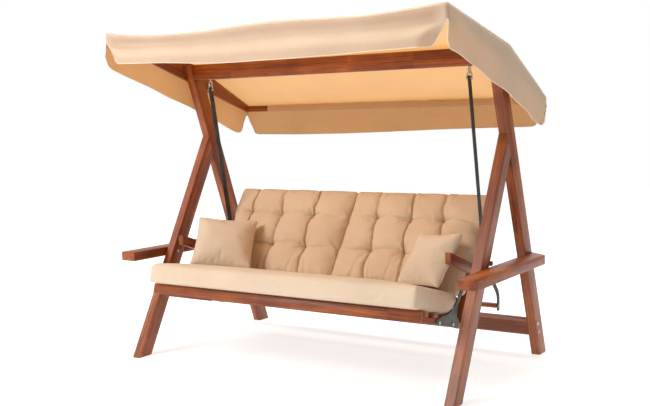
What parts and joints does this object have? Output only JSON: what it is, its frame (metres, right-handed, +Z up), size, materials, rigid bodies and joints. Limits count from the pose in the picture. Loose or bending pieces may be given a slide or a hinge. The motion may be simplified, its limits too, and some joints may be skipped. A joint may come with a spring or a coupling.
{
  "type": "canopy swing bench",
  "caption": "Timber garden swing seat with a sloping fabric canopy, padded bench and back cushions, and a backrest that folds flat to make a bed.",
  "frame": {"origin": "on the ground, under the middle of the whole object's bounding box", "axes": "+X to the side, along the bench; +Y to the rear; +Z up"},
  "size_m": [2.402, 1.454, 1.992],
  "materials": {
    "timber": "satin",
    "dark_steel": "satin",
    "zinc_steel": "satin",
    "knob_plastic": "matte",
    "canopy_cloth": "matte",
    "cushion_cloth": "matte"
  },
  "bodies": {
    "stand": {"armrest_left": "timber", "armrest_right": "timber", "canopy_arm_left": "timber", "canopy_arm_right": "timber", "canopy_front_rail": "timber", "canopy_rear_rail": "timber", "canopy_ridge_rail": "timber", "canopy_roof_front": "canopy_cloth", "canopy_roof_rear": "canopy_cloth", "eye_bolt_left": "zinc_steel", "eye_bolt_right": "zinc_steel", "front_leg_left": "timber", "front_leg_right": "timber", "post_left": "timber", "post_right": "timber", "rear_stretcher": "timber", "top_beam": "timber", "valance_front": "canopy_cloth", "valance_left": "canopy_cloth", "valance_rear": "canopy_cloth", "valance_right": "canopy_cloth"},
    "seat": {"back_pivot_bolt_left": "zinc_steel", "back_pivot_bolt_right": "zinc_steel", "bed_support_bar": "timber", "hanger_bar_left": "dark_steel", "hanger_bar_right": "dark_steel", "seat_arm_left": "timber", "seat_arm_right": "timber", "seat_centre_joist": "timber", "seat_cushion": "cushion_cloth", "seat_front_rail": "timber", "seat_rear_rail": "timber", "seat_side_rail_left": "timber", "seat_side_rail_right": "timber", "seat_slat_1": "timber", "seat_slat_2": "timber", "seat_slat_3": "timber", "seat_slat_4": "timber", "seat_slat_5": "timber", "shackle_left": "zinc_steel", "shackle_right": "zinc_steel", "side_hoop_left": "dark_steel", "side_hoop_right": "dark_steel", "under_seat_cleat": "timber"},
    "backrest": {"back_cushion_left": "cushion_cloth", "back_cushion_right": "cushion_cloth", "backrest_bottom_rail": "timber", "backrest_slat_1": "timber", "backrest_slat_2": "timber", "backrest_slat_3": "timber", "backrest_slat_4": "timber", "backrest_slat_5": "timber", "backrest_stile_left": "timber", "backrest_stile_right": "timber", "backrest_top_rail": "timber", "pillow_left": "cushion_cloth", "pillow_right": "cushion_cloth"},
    "knob_left": {"lock_knob_left": "knob_plastic"},
    "knob_right": {"lock_knob_right": "knob_plastic"}
  },
  "joints": [
    {"name": "swing", "type": "hinge", "parent": "stand", "child": "seat", "pos_m": [0, -0.015, 1.7003], "axis": [1, 0, 0], "range_deg": [-12, 12]},
    {"name": "recline", "type": "hinge", "parent": "seat", "child": "backrest", "pos_m": [0, -0.04413, 0.28826], "axis": [1, 0, 0], "range_deg": [-44.5, 0]},
    {"name": "knob_left_turn", "type": "hinge", "parent": "seat", "child": "knob_left", "pos_m": [-0.946, 0.182, 0.615], "axis": [1, 0, 0], "range_deg": [-180, 180]},
    {"name": "knob_right_turn", "type": "hinge", "parent": "seat", "child": "knob_right", "pos_m": [0.946, 0.182, 0.615], "axis": [1, 0, 0], "range_deg": [-180, 180]}
  ]
}
